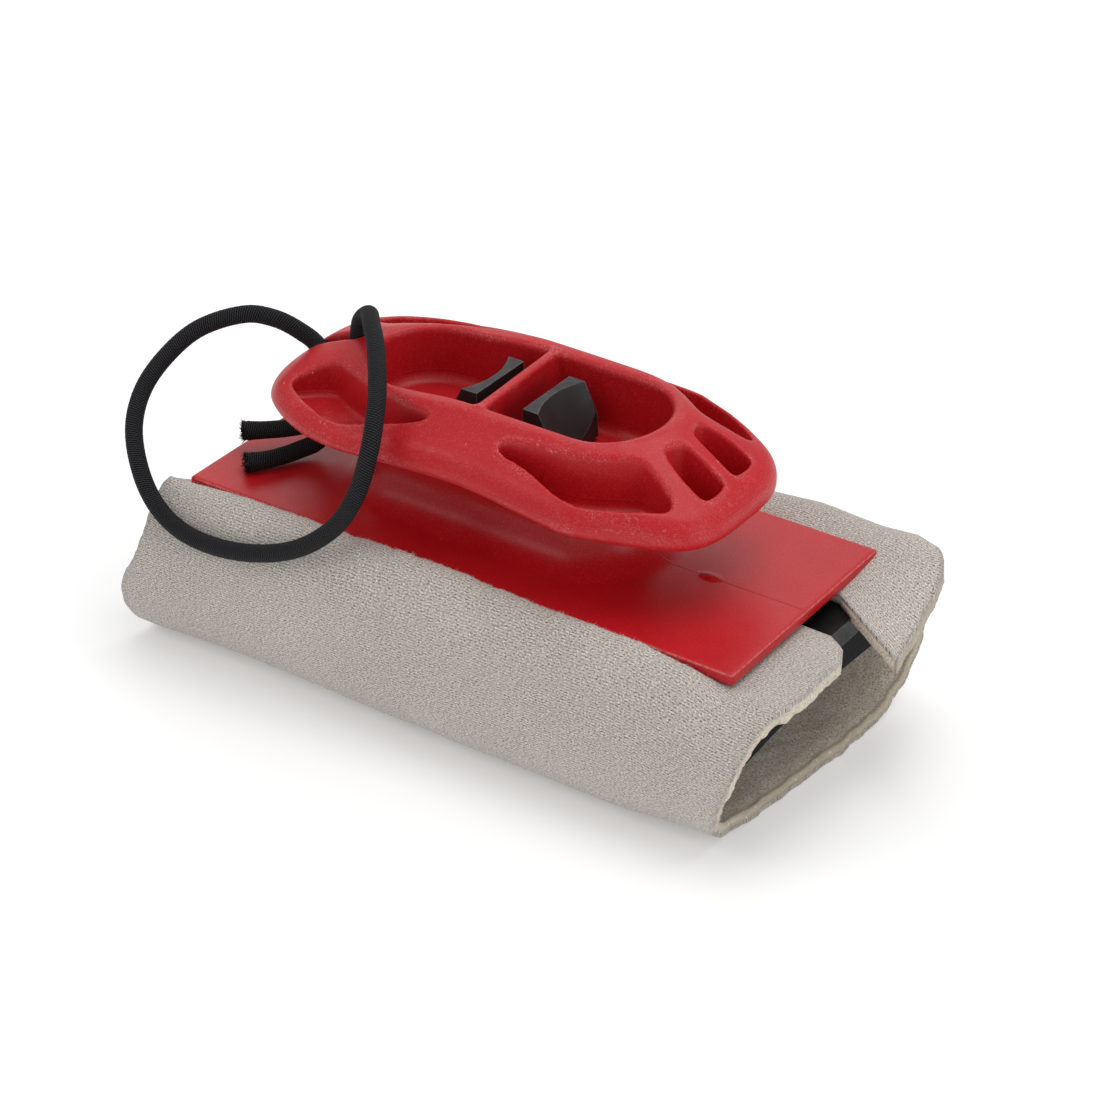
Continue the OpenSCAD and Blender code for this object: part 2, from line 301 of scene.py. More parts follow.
def black_plastic(name="black_satin", light=1.0):
    """Satin black moulding; a lower light paints shade into its colour, making it darker, and makes it less
    glossy.
    """
    m = Nodes(name)
    co = m("TexCoord").outputs["Object"]
    big = m.noise(co, 90, 3, 0.6)
    low, low_blue, high, high_blue = (v * light for v in (0.009, 0.010, 0.019, 0.020))
    col = m.ramp(big, [(0.3, (low, low, low_blue)), (0.7, (high, high, high_blue))])
    rough = m.span(m.noise(co, 420, 3, 0.6), 0.3, 0.7, 0.40, 0.54)
    n1 = m.bump(m.noise(co, 1300, 3, 0.6), 0.3, 0.00005)
    # Edges are rubbed a little grey, where a rounded normal would turn away from the true one
    geo = m("NewGeometry")
    bev = m("Bevel", {"Radius": 0.00035}, samples=4)
    turned = m("VectorMath", {0: bev.outputs[0], 1: geo.outputs["Normal"]}, operation="DOT_PRODUCT")
    edge = m.span(turned.outputs["Value"], 0.995, 0.93)
    edge = m.times(edge, m.span(m.noise(co, 500, 3, 0.7), 0.35, 0.6))
    col = m.mix(m.times(edge, 0.5), col, (0.30, 0.30, 0.31, 1))
    return m.surface({"Base Color": col, "Roughness": rough, "Normal": n1,
                      "IOR": 1.20 + 0.28 * light})


def pad_rubber():
    m = Nodes("pad_foam_rubber")
    co = m("TexCoord").outputs["Object"]
    n = m.noise(co, 700, 4, 0.7)
    col = m.ramp(n, [(0.3, (0.0025, 0.0025, 0.0027)), (0.7, (0.006, 0.006, 0.0062))])
    n1 = m.bump(n, 0.5, 0.00015)
    return m.surface({"Base Color": col, "Roughness": 0.8, "Normal": n1, "IOR": 1.25})


def hook_tape():
    m = Nodes("hook_tape")
    co = m("TexCoord").outputs["Object"]
    v = m("TexVoronoi", {"Vector": co, "Scale": 900.0})
    n1 = m.bump(v.outputs["Distance"], 0.8, 0.0003)
    return m.surface({"Base Color": (0.02, 0.02, 0.021, 1), "Roughness": 0.7, "Normal": n1})


def knit():
    m = Nodes("brushed_knit")
    uv = m("UVMap", uv_map="cloth").outputs["UV"]
    sep = m("SeparateXYZ", {"Vector": uv})
    s, x = sep.outputs["X"], sep.outputs["Y"]
    co = m("TexCoord").outputs["Object"]
    # Rows of stitches lie along X, about 0.6 mm apart; the strands in them slant both ways
    stitch = 0.0006
    wob = m.span(m.noise(co, 160, 2, 0.5), 0, 1, -0.0004, 0.0004)
    row = m.times(m.add(s, wob), 1 / stitch)
    rows = m.span(m.sine(m.times(row, 2 * math.pi)), -1, 1)
    lean = m.add(m.times(x, 1 / 0.00055), m.times(s, 1 / 0.0009))
    shade_at = m("CombineXYZ", {"X": lean, "Y": m.times(s, 1 / 0.00024)})
    shade = m.noise(shade_at.outputs[0], 1.0, 2, 0.55)
    lean_back = m.less(m.times(x, 1 / 0.0005), m.times(s, 1 / 0.0006))
    lit_at = m("CombineXYZ", {"X": lean_back, "Y": m.times(s, 1 / 0.00022), "Z": 7.0})
    lit = m.noise(lit_at.outputs[0], 1.0, 2, 0.55)
    fuzz = m.noise(co, 2600, 3, 0.7)
    cloud = m.noise(co, 40, 4, 0.6)
    col = m.ramp(cloud, [(0.3, (0.52, 0.46, 0.408)), (0.7, (0.60, 0.54, 0.482))])
    dark = m.times(m.span(shade, 0.53, 0.40), m.span(rows, 0.95, 0.15, 0.35, 1.0))
    col = m.mix(dark, col, (0.10, 0.080, 0.064, 1))
    bright = m.times(m.span(lit, 0.47, 0.60), m.span(rows, 0.1, 0.9, 0.4, 1.0))
    col = m.mix(m.times(bright, 0.95), col, (0.95, 0.91, 0.85, 1))
    height = m.add(m.less(m.times(bright, 0.5), m.times(dark, 0.7)), m.times(fuzz, 0.5))
    edge = m.times(m.attribute("cut"), 0.5)
    col = m.mix(m.times(edge, m.span(fuzz, 0.35, 0.6)), col, (0.17, 0.145, 0.095, 1))
    n1 = m.bump(height, 0.7, 0.0002)
    return m.surface({"Base Color": col, "Roughness": 0.95, "Normal": n1,
                      "Sheen Weight": 0.2, "Sheen Roughness": 0.5})


def lint_fibre():
    m = Nodes("knit_fibre")
    co = m("TexCoord").outputs["Object"]
    col = m.ramp(m.noise(co, 300, 2, 0.5), [(0.3, (0.50, 0.45, 0.40)), (0.7, (0.68, 0.62, 0.56))])
    return m.surface({"Base Color": col, "Roughness": 0.8})


def foam():
    m = Nodes("open_foam")
    co = m("TexCoord").outputs["Object"]
    n = m.noise(co, 2300, 3, 0.75)
    soft = m.noise(co, 120, 3, 0.6)
    col = m.ramp(n, [(0.32, (0.27, 0.222, 0.163)), (0.5, (0.86, 0.745, 0.61)), (0.64, (1.0, 0.96, 0.87))])
    col = m.mix(m.span(soft, 0.35, 0.65, 0.0, 0.22), col, (0.42, 0.38, 0.32, 1))
    # A few of the cells are glossier, and a glint is painted on them as near-white colour
    cells = m("TexVoronoi", {"Vector": co, "Scale": 1500.0})
    painted_glint = m.span(m("SeparateColor", {"Color": cells.outputs["Color"]}).outputs[0], 0.93, 0.96)
    painted_glint = m.times(painted_glint, m.span(cells.outputs["Distance"], 0.55, 0.3))
    col = m.mix(m.times(painted_glint, 0.9), col, (1.0, 0.98, 0.92, 1))
    edge = m.attribute("cut")
    col = m.mix(m.times(edge, m.span(n, 0.40, 0.58, 0.2, 0.75)), col, (0.20, 0.17, 0.105, 1))
    n1 = m.bump(n, 0.6, 0.0002)
    rough = m.span(painted_glint, 0, 1, 0.9, 0.4)
    return m.surface({"Base Color": col, "Roughness": rough, "Normal": n1})


def cord_cloth():
    m = Nodes("braided_cord")
    co = m("TexCoord").outputs["Object"]
    along, turn_cos, turn_sin = (m.attribute(n) for n in ("along", "turn_cos", "turn_sin"))
    turn = m.math("ARCTAN2", turn_sin, turn_cos)
    # Fine ribs, nearly square to the cord, crossed by a weaker family leaning the other way
    rib, cross_rib = 0.5, 0.92
    ribs = m.size(m.sine(m.add(m.times(along, math.pi / rib), m.times(turn, 3))))
    cross = m.size(m.sine(m.less(m.times(along, math.pi / cross_rib), m.times(turn, 6))))
    n = m.noise(co, 1800, 3, 0.7)
    h = m.add(m.add(m.times(ribs, 0.75), m.times(cross, 0.15)), m.times(n, 0.3))
    col = m.ramp(h, [(0.35, (0.0004, 0.0004, 0.0005)), (0.78, (0.003, 0.003, 0.0036)),
                     (1.0, (0.040, 0.041, 0.046))])
    n1 = m.bump(h, 0.9, 0.00022)
    return m.surface({"Base Color": col, "Roughness": 0.7, "Normal": n1, "IOR": 1.27})


RED = red_plastic()
BLACK = black_plastic()
# The clip sits in shade under the plate, so its copy of the black moulding has painted shade: a darker
# colour, and less gloss
CLIP_PAINTED_SHADE = black_plastic("black_clip_painted_shade", 0.25)
PAD = pad_rubber()
HOOK = hook_tape()
KNIT = knit()
LINT = lint_fibre()
FOAM = foam()
CORD = cord_cloth()


def paint(obj, mat):
    """Gives a piece its material."""
    obj.data.materials.clear()
    obj.data.materials.append(mat)


# ---------------- loose fibres


def fibres(name, roots, ways, count, seed, mat, slot, long, thick):
    """Short loose hairs: tapered, bent, three-sided tubes, each rooted near one of the given points
    and leaning roughly the way given for it. The wrap's and the cord's all ride on the main body.
    """
    rng = np.random.default_rng(seed)
    pick = rng.integers(0, len(roots), count)
    lean = ways[pick] + 0.75 * rng.normal(size=(count, 3))
    lean /= np.linalg.norm(lean, axis=1)[:, None]
    bend = np.cross(lean, rng.normal(size=(count, 3)))
    length = long * rng.uniform(0.35, 1.0, count)[:, None]
    base = roots[pick] + 0.12 * long * rng.normal(size=(count, 3)) - 0.2 * long * lean
    side = np.cross(lean, [0.3, 0.5, 0.8])
    side /= np.linalg.norm(side, axis=1)[:, None]
    up = np.cross(lean, side)
    rings = []
    for t, width in ((0, 1.0), (0.5, 0.85), (1, 0.3)):
        centre = base + length * (t * lean + 0.4 * t * t * bend)
        for k in range(3):
            a = 2 * math.pi * k / 3
            rings.append(centre + thick * width * (math.cos(a) * side + math.sin(a) * up))
    verts = np.stack(rings, 1).reshape(-1, 3)
    above_floor = 0.02
    verts[:, 2] = np.maximum(verts[:, 2], above_floor)
    wall = [[3 * r + k, 3 * r + (k + 1) % 3, 3 * r + 3 + (k + 1) % 3] for r in (0, 1) for k in range(3)]
    wall += [[3 * r + k, 3 * r + 3 + (k + 1) % 3, 3 * r + 3 + k] for r in (0, 1) for k in range(3)]
    wall += [[0, 2, 1], [6, 7, 8]]
    tris = (np.arange(count)[:, None, None] * 9 + np.array(wall)[None]).reshape(-1, 3)
    obj = new_object(name, mesh_from(name, mm(verts), tris))
    paint(obj, mat)
    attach(obj, "tourniquet")


# ---------------- cord

CORD_R = 2.0
# Lay and depth of the woven skin, in mm, and the strands in each of its two families
BRAID_LAY, BRAID_DEPTH, BRAID_STRANDS = 9.0, 0.06, 8
TAIL_STEPS = 80
# Centrelines: the loop from the notch round to the notch, and each tail from the knot to its cut end
loop_route = [
    [-53.6, -1.8, 50.5], [-53.5, -0.2, 55.2], [-54, 0, 59.5], [-55.4, 0, 63], [-57.6, -0.1, 64.9],
    [-60, -1, 66.6], [-62.4, -2.4, 68.4], [-65, -4, 69.8], [-70, -7, 70.7], [-78.2, -14, 67.8],
    [-82.6, -20.5, 62.5], [-84.3, -27, 56.5], [-82.4, -33, 50.4],
    [-77.3, -37.6, 43.3], [-71.5, -39.8, 37.5], [-64.2, -40.8, 34],
    [-54.4, -41, 33.2], [-42, -40.8, 35.5], [-31.5, -39.8, 40],
    [-22.8, -38.2, 47.5], [-18.2, -36.6, 56], [-17.2, -33, 65], [-18.7, -29, 70],
    [-21.8, -23.8, 73.2], [-29.4, -14, 77.4], [-35.8, -7, 78.2],
    [-40.3, -2, 77.2], [-43.9, -0.2, 73.8], [-44.9, 0, 68.6], [-45.6, 0, 61],
    [-46.4, -0.15, 55.8], [-48.2, -1.6, 51],
]
tail_upper_route = [[-54, -4.5, 47.5], [-57, -6.2, 46.2], [-61, -8.5, 45.2], [-64.3, -10.8, 44.9],
                    [-67.6, -13.5, 44.9]]
tail_lower_route = [[-52.5, -6.5, 43.6], [-54.6, -10, 42.6], [-56.4, -14, 42.3], [-58.4, -17.6, 42.3],
                    [-61, -20.8, 42.3]]


def frames(line):
    """Tangents along a line, and two directions square to them that turn as little as they can."""
    t = np.gradient(line, axis=0)
    t /= np.linalg.norm(t, axis=1)[:, None]
    side = np.zeros_like(line)
    s = np.array([0.31, 0.52, 0.79])
    for i in range(len(line)):
        s = s - (s @ t[i]) * t[i]
        s /= np.linalg.norm(s)
        side[i] = s
    return t, side, np.cross(t, side)


def cord_end(verts, line, tangents, ang, end, first_id, fray):
    """Rings that close in on the centreline over one cut end: their points and quads."""
    around = len(ang)
    last = end != 0
    ring = np.arange(around) + end * around
    here = np.arange(around)
    after = (here + 1) % around
    centre, outwards = line[end], tangents[end] * (1 if last else -1)
    points, quads, prev = [], [], ring
    for f in (0.72, 0.4, 0.12):
        out = 0.25 * (1 - f) + fray * hash_noise(ang * 3.2 + 5 * f, 31 + last)
        points.append(centre + (verts[ring] - centre) * f + outwards * out[:, None])
        ids = first_id + np.arange(around)
        first_id += around
        q = np.stack([prev[here], prev[after], ids[after], ids[here]], 1)
        quads.append(q if last else q[:, ::-1])
        prev = ids
    return points, quads


def braided_tube(name, line, radius, around=40, cap=True, taper=None, fray=0.0):
    """A cord: a tube whose skin is a woven braid of two families of helical strands."""
    line = np.asarray(line, float)
    t, side, up = frames(line)
    arc = np.concatenate([[0], np.cumsum(np.linalg.norm(np.diff(line, axis=0), axis=1))])
    ang = np.arange(around) * 2 * math.pi / around
    A, S = np.meshgrid(ang, arc)
    p = BRAID_STRANDS * (A / (2 * math.pi) + S / BRAID_LAY)
    q = BRAID_STRANDS * (A / (2 * math.pi) - S / BRAID_LAY)
    ridge_p = np.abs(np.sin(np.pi * p)) ** 0.6
    ridge_q = np.abs(np.sin(np.pi * q)) ** 0.6
    over = 0.5 + 0.5 * np.cos(np.pi * (np.floor(p) + np.floor(q)))
    relief = over * ridge_p + (1 - over) * ridge_q
    r = radius - BRAID_DEPTH + BRAID_DEPTH * relief
    if taper is not None:
        r = r * taper[:, None]
    outward = np.cos(A)[..., None] * side[:, None] + np.sin(A)[..., None] * up[:, None]
    verts = (line[:, None] + r[..., None] * outward).reshape(-1, 3)
    n = len(line)
    i, k = np.meshgrid(np.arange(n - 1), np.arange(around), indexing="ij")
    k2 = (k + 1) % around
    quads = np.stack([i * around + k, i * around + k2, (i + 1) * around + k2, (i + 1) * around + k], -1)
    quads = quads.reshape(-1, 4)
    marks = [S.reshape(-1), np.cos(A).reshape(-1), np.sin(A).reshape(-1)]
    if cap:
        rings, more = [], []
        for end in (0, n - 1):
            points, closing = cord_end(verts, line, t, ang, end, len(verts) + around * len(rings), fray)
            rings += points
            more += closing
        verts = np.vstack([verts] + rings)
        quads = np.vstack([quads] + more)
        edges = [np.arange(around), np.arange(around) + (n - 1) * around]
        ends = np.concatenate([np.tile(k[ring], 3) for k in marks for ring in edges]).reshape(3, -1)
        marks = [np.concatenate([k, e]) for k, e in zip(marks, ends)]
    mesh = mesh_from(name, mm(verts), quads)
    for attribute, values in zip(("along", "turn_cos", "turn_sin"), marks):
        float_attribute(mesh, attribute, values)
    obj = new_object(name, mesh)
    mesh.materials.append(CORD)
    return obj


loop_line = spline(loop_route, 760)
loop = braided_tube("cord_loop_braid", loop_line, CORD_R)


def knot_line():
    """An overhand knot pulled small, centred under the nose."""
    t = np.linspace(0, 2 * math.pi, 16, endpoint=False)
    k = np.stack([np.sin(t) + 2 * np.sin(2 * t), np.cos(t) - 2 * np.cos(2 * t), -np.sin(3 * t)], 1)
    k = k * np.array([1.15, 1.05, 1.7])
    return k + np.array([-50.5, -2.6, 48.4])


# Its cord is squeezed a little thinner
knot_centre = spline(knot_line(), 300, closed=True)
knot = braided_tube("cord_knot_braid", knot_centre, CORD_R * 0.86, around=28, cap=False)
# Each tail starts inside the knot,
lead_in = [[-51.2, -3.6, 47.8], [-51.6, -4.8, 45.6]]
# and spreads a little, unevenly, towards its cut end
step = np.arange(TAIL_STEPS)
flare = 1 + 0.10 * smoothstep(60, 76, step) + 0.04 * hash_noise(step / 2.3, 77) * smoothstep(66, 78, step)
upper_line = spline(lead_in[:1] + tail_upper_route, TAIL_STEPS)
upper = braided_tube("cord_tail_upper_braid", upper_line, CORD_R, taper=flare, fray=0.45)
lower_line = spline(lead_in + tail_lower_route, TAIL_STEPS)
lower = braided_tube("cord_tail_lower_braid", lower_line, CORD_R, taper=flare, fray=0.45)
for piece, node in ((loop, "cord_loop"), (knot, "cord_knot"), (upper, "cord_tail_upper"),
                    (lower, "cord_tail_lower")):
    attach(piece, "tourniquet")
    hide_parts(node)


def tail_end(route):
    """Points over the cut end of a tail, and the way that its strands stick out there."""
    line = spline(route, TAIL_STEPS)
    t, side, up = (k[-1] for k in frames(line))
    turn = np.linspace(0, 2 * math.pi, 36, endpoint=False)[:, None]
    radial = np.cos(turn) * side + np.sin(turn) * up
    roots = np.vstack([line[-1] + CORD_R * f * radial for f in (0.5, 0.85, 1.05)])
    return roots, np.tile(t + 0.9 * radial, (3, 1))


for route, name in ((tail_upper_route, "cord_fray_upper"), (tail_lower_route, "cord_fray_lower")):
    fibres(name, *tail_end(route), 150, len(name), CORD, "elastic_cord", 1.3, 0.09)

# ---------------- red handle, as one field

# Outlines over the plate, as (X, Y): half of the rim and of the crown, and the front one of each pocket
cleat_half = [[-61, 7], [-59.5, 13], [-55.5, 18.5], [-48, 23.5], [-40, 26.8], [-30, 28.8],
              [-20, 28.3], [-8, 27], [6, 26.8], [16, 27.8], [27, 28.6], [30, 27.8],
              [36, 25.2], [43, 22.2], [49.8, 19], [53.6, 14.5], [55.2, 8]]
crown_half = [[-43, 0.6], [-41, 3], [-37, 8], [-30, 13.6], [-24, 15.8], [-14, 16.2], [6, 16.2], [21, 15.8],
              [29, 12.5], [33.5, 8], [36, 3]]
nose_pocket = [[-51.3, -15.3], [-46.5, -11], [-43, -9.6], [-38, -12.3], [-33, -14.3], [-20, -18],
               [-12.2, -19], [-11.8, -20.3], [-17, -22.2], [-25, -23.9], [-31, -25], [-36, -24.6],
               [-44.2, -21.2], [-49.7, -17.8]]
side_pocket = [[6.6, -20.3], [8.4, -19.3], [13.5, -18.6], [21, -18.2], [25, -17.4], [29, -15.7],
               [35.8, -11.5], [38.5, -11.8], [45.3, -13.9], [46.2, -16], [45.2, -17.4],
               [37.8, -21.9], [34, -23.5], [30, -24.9], [27, -25.4], [23, -24.8], [19, -23.6],
               [14.5, -22.4], [8.1, -21.6]]
tail_pocket = [[38.9, -5.3], [39.6, -3.2], [40.6, -2], [49.8, -1.6], [50.6, -2.7], [50.8, -6.2],
               [50.3, -8.7], [49.4, -9.5], [43.8, -9], [39, -7]]
# Height of the rim's shoulder over the plate, along X
shoulder = [[-61, 20.2], [-57, 21.8], [-54, 22.9], [-48, 23.2], [-36, 23], [-30, 22.9], [-24, 23.8],
            [-18, 24.6], [-12, 25], [-6, 24.9], [0, 24.7], [6, 24.5], [12, 23.9], [18, 23.5], [24, 23.3],
            [30, 22.9], [36, 23.4], [42, 23.1], [48, 22.2], [54.3, 21.6]]


def both_sides(half):
    """A closed outline from its back half, mirrored to the front."""
    return [[x, -y] for x, y in half] + [[x, y] for x, y in half[::-1]]


def soften(points, r):
    """The closed outline with each corner turned into a short curve that starts r before it."""
    p = np.asarray(points, float)
    out = []
    for i in range(len(p)):
        a, b, c = p[i - 1], p[i], p[(i + 1) % len(p)]
        la, lc = np.linalg.norm(a - b), np.linalg.norm(c - b)
        s = b + (a - b) / la * min(r, 0.48 * la)
        e = b + (c - b) / lc * min(r, 0.48 * lc)
        for t in np.linspace(0, 1, 6):
            out.append((1 - t) ** 2 * s + 2 * t * (1 - t) * b + t * t * e)
    return np.array(out)


def outline_distance(X, Y, points):
    """Signed distance to a closed outline, negative inside."""
    p = np.asarray(points, float)
    best = np.full(X.shape, 1e9)
    inside = np.zeros(X.shape, bool)
    for a, b in zip(p, np.roll(p, -1, axis=0)):
        e = b - a
        wx, wy = X - a[0], Y - a[1]
        t = np.clip((wx * e[0] + wy * e[1]) / max(e @ e, 1e-12), 0, 1)
        best = np.minimum(best, (wx - t * e[0]) ** 2 + (wy - t * e[1]) ** 2)
        crosses = ((a[1] <= Y) & (b[1] > Y)) | ((b[1] <= Y) & (a[1] > Y))
        with np.errstate(divide="ignore", invalid="ignore"):
            xc = a[0] + (Y - a[1]) / (b[1] - a[1]) * e[0] if b[1] != a[1] else np.full(X.shape, -1e9)
        inside ^= crosses & (X < xc)
    d = np.sqrt(best)
    return np.where(inside, -d, d)


def slot_distance(X, Y, left, right, r):
    """Signed distance to a slot along X with round ends: left and right are its end centres."""
    return np.hypot(X - np.clip(X, left, right), Y) - r


def join(a, b, r):
    """Two shapes together, with a fillet of radius r where they meet."""
    return np.maximum(r, np.minimum(a, b)) - np.hypot(np.maximum(r - a, 0), np.maximum(r - b, 0))


def meet(a, b, r):
    """What two shapes share, with the edge between them rounded to radius r."""
    return np.minimum(-r, np.maximum(a, b)) + np.hypot(np.maximum(r + a, 0), np.maximum(r + b, 0))


def cut(a, b, r):
    """The first shape without the second, with the edge rounded to radius r."""
    return meet(a, -b, r)


# The neck's flat sides run between these X, and its ends and thickness come from the radius
NECK_LEFT, NECK_RIGHT, NECK_R = -26, 18, 12
NECK_FILLET = 8.0
# The cleat leans this much to the front; its rim is rounded, and blends into the neck
LEAN = 0.04
RIM_ROUND, RIM_FILLET = 2.6, 5.5
# Height of the rim's underside, along X
RIM_UNDER = ([-60, -42, -22, 0, 15, 28, 40, 54], [57, 57.3, 58.6, 58.7, 57.7, 56.9, 55.8, 55.4])
# The middle pocket's ends, radius and floor, and the middle of the cross wall in it
MIDDLE_LEFT, MIDDLE_RIGHT, MIDDLE_R, MIDDLE_FLOOR = -24.5, 20.5, 13.5, 58
WALL_X = -2.4
# The cord's notch: where it ends, its half width and its floor
NOTCH_END, NOTCH_R, NOTCH_FLOOR = -44.8, 2.2, 50
# The slots that the two tabs' stems pass through, along X, and half their width
STEM_SLOTS, STEM_HALF_Y = ((-12.7, -3.9), (-0.9, 7.9)), 9.1


def handle_field(xs, ys, zs):
    """The red moulding as a field over a grid: below zero inside, about the distance near the surface."""
    X2, Y2 = np.meshgrid(xs, ys, indexing="ij")
    X, Y = X2[:, :, None], Y2[:, :, None]
    Z = zs[None, None, :]
    # Plate
    r = 0.45
    qx, qy = np.abs(X) - PLATE_HALF_X + r, np.abs(Y) - PLATE_HALF_Y + r
    qz = np.abs(Z - PLATE_MID) - PLATE_HALF_THICK + r
    beyond = np.sqrt(np.maximum(qx, 0) ** 2 + np.maximum(qy, 0) ** 2 + np.maximum(qz, 0) ** 2)
    plate = beyond + np.minimum(np.maximum(np.maximum(qx, qy), qz), 0) - r
    # Neck, with its long fillets
    neck = slot_distance(X2, Y2, NECK_LEFT, NECK_RIGHT, NECK_R)[:, :, None]
    neck = np.maximum(neck, Z - 60)
    neck = np.maximum(neck, 38 - Z)
    F = join(plate, neck, NECK_FILLET)
    # Cleat
    side = outline_distance(X2, Y2, soften(both_sides(cleat_half), 5))[:, :, None]
    crown = outline_distance(X2, Y2, soften(both_sides(crown_half), 5))[:, :, None]
    # The top runs down from the crown to the rim's shoulder
    dc, do = np.maximum(crown, 0), np.maximum(-side, 0)
    g = dc / (dc + do + 1e-6)
    g = (np.sqrt(g * g + 0.0064) - 0.08) / (math.sqrt(1.0064) - 0.08)
    ze = PLATE_TOP + np.interp(X, [p[0] for p in shoulder], [p[1] for p in shoulder])
    crest = CROWN - 2 * smoothstep(-5, -28, X) - 0.6 * (np.minimum(np.abs(Y), 13.5) / 13.5) ** 2
    over = np.maximum(side, 0)
    top = crest - (crest - ze) * g + LEAN * Y - 0.6 * over
    cleat = meet(side, (Z - top) / 1.17, RIM_ROUND)
    cleat = meet(cleat, np.interp(X, *RIM_UNDER) - Z, RIM_ROUND)
    F = join(F, cleat, RIM_FILLET)
    # Middle pocket, with the cross wall left standing; all pockets narrow towards their floors
    mouth = slot_distance(X2, Y2, MIDDLE_LEFT, MIDDLE_RIGHT, MIDDLE_R)[:, :, None]
    pocket = meet(mouth + 0.03 * (CROWN - Z), MIDDLE_FLOOR - Z, 2.5)
    F = cut(F, pocket, 1.1)
    wall = np.abs(X - WALL_X) - (1.15 + 0.012 * (CROWN - Z))
    wall = np.maximum(wall, np.abs(Y) - 14.6)
    wall = meet(wall, Z - (CROWN - 0.5 + LEAN * Y), 0.7)
    wall = np.maximum(wall, 56.5 - Z)
    F = join(F, wall, 1.0)
    # Coring pockets, each with its floor's height
    for shape, floor in ((nose_pocket, 59.5), (side_pocket, 58.2), (tail_pocket, 57.8)):
        for mirror in (1, -1):
            outline = soften([[x, y * mirror] for x, y in shape], 2.2)
            mouth = outline_distance(X2, Y2, outline)[:, :, None]
            pocket = meet(mouth + 0.035 * (CROWN - 5 - Z), floor - Z, 1.4)
            F = cut(F, pocket, 0.7)
    # Cord notch, open at the nose
    notch = slot_distance(X2, Y2, -90, NOTCH_END, NOTCH_R)[:, :, None]
    F = cut(F, np.maximum(notch, NOTCH_FLOOR - Z), 0.8)
    # Slots for the stems of the release tabs
    for x0, x1 in STEM_SLOTS:
        q = np.maximum(np.abs(X - (x0 + x1) / 2) - (x1 - x0) / 2, np.abs(Y) - STEM_HALF_Y)
        F = cut(F, np.maximum(q, Z - 60), 0.25)
    # Gate vestige: a low oval bump on the plate's tail end
    g = np.sqrt(((X - 46.5) / 2.7) ** 2 + (Y / 1.4) ** 2 + ((Z - PLATE_TOP) / 0.55) ** 2)
    F = np.minimum(F, (g - 1) * 0.9)
    return F


CORNERS = [(dx, dy, dz) for dx in (0, 1) for dy in (0, 1) for dz in (0, 1)]


def cell_points(F, cells, grids):
    """One point for each cell that the surface crosses: the mean of its crossings of the cell's edges."""
    I, J, K = cells
    values = {c: F[I + c[0], J + c[1], K + c[2]] for c in CORNERS}
    place, crossings = np.zeros((len(I), 3)), np.zeros(len(I))
    for c in CORNERS:
        for axis in range(3):
            if c[axis] == 1:
                continue
            far = list(c)
            far[axis] = 1
            f0, f1 = values[c], values[tuple(far)]
            hit = (f0 < 0) != (f1 < 0)
            with np.errstate(divide="ignore", invalid="ignore"):
                along = np.where(hit, f0 / (f0 - f1), 0)
            for a in range(3):
                place[:, a] += np.where(hit, along if a == axis else float(c[a]), 0)
            crossings += hit
    place /= crossings[:, None]
    each = zip(grids, cells, place.T)
    return np.stack([g[b] + f * (g[b + 1] - g[b]) for g, b, f in each], 1)


def crossing_quads(inside, number):
    """For each grid edge that the surface crosses, the quad that joins the four cells round it."""
    quads = []
    for axis in range(3):
        others = [a for a in range(3) if a != axis]
        near, far = [slice(None)] * 3, [slice(None)] * 3
        near[axis], far[axis] = slice(0, -1), slice(1, None)
        for a in others:
            near[a] = far[a] = slice(1, -1)
        starts_inside = inside[tuple(near)]
        edges = np.nonzero(starts_inside != inside[tuple(far)])
        flip = starts_inside[edges]
        ring = []
        for back_a, back_b in ((1, 1), (0, 1), (0, 0), (1, 0)):
            cell = [None] * 3
            cell[axis] = edges[axis]
            cell[others[0]] = edges[others[0]] + 1 - back_a
            cell[others[1]] = edges[others[1]] + 1 - back_b
            ring.append(number[cell[0], cell[1], cell[2]])
        quad = np.stack(ring, 1)
        if axis == 1:
            flip = ~flip
        quad[~flip] = quad[~flip][:, ::-1]
        quads.append(quad)
    return np.vstack(quads)


def sample(A, points, grids):
    """Values of a grid array at points, blended from the eight grid corners round each."""
    first, weight = [], []
    for a, g in enumerate(grids):
        i = np.clip(np.searchsorted(g, points[:, a]) - 1, 0, len(g) - 2)
        first.append(i)
        weight.append(np.clip((points[:, a] - g[i]) / (g[i + 1] - g[i]), 0, 1))
    w, out = weight, 0
    for dx, dy, dz in CORNERS:
        share = (w[0] if dx else 1 - w[0]) * (w[1] if dy else 1 - w[1]) * (w[2] if dz else 1 - w[2])
        out = out + share * A[first[0] + dx, first[1] + dy, first[2] + dz]
    return out


def surface_nets(F, grids):
    """The zero surface of a field on a grid: its points, quads and normals, and the field's slopes."""
    inside = F < 0
    n = [s - 1 for s in F.shape]
    total = np.zeros(n, np.int8)
    for dx, dy, dz in CORNERS:
        total += inside[dx : n[0] + dx, dy : n[1] + dy, dz : n[2] + dz]
    mixed = (total > 0) & (total < 8)
    cells = np.nonzero(mixed)
    number = np.full(n, -1, np.int64)
    number[mixed] = np.arange(len(cells[0]))
    P = cell_points(F, cells, grids)
    quads = crossing_quads(inside, number)
    # Each point is pulled onto the surface, by no more than most_pull along each axis
    most_pull = 0.3
    G = np.gradient(F, *grids)
    start = P.copy()
    for _ in range(3):
        f = sample(F, P, grids)
        g = np.stack([sample(a, P, grids) for a in G], 1)
        step = f[:, None] * g / np.maximum((g**2).sum(1), 0.05)[:, None]
        P = start + np.clip(P - step - start, -most_pull, most_pull)
    g = np.stack([sample(a, P, grids) for a in G], 1)
    N = g / np.maximum(np.linalg.norm(g, axis=1), 1e-9)[:, None]
    return P, quads, N, G


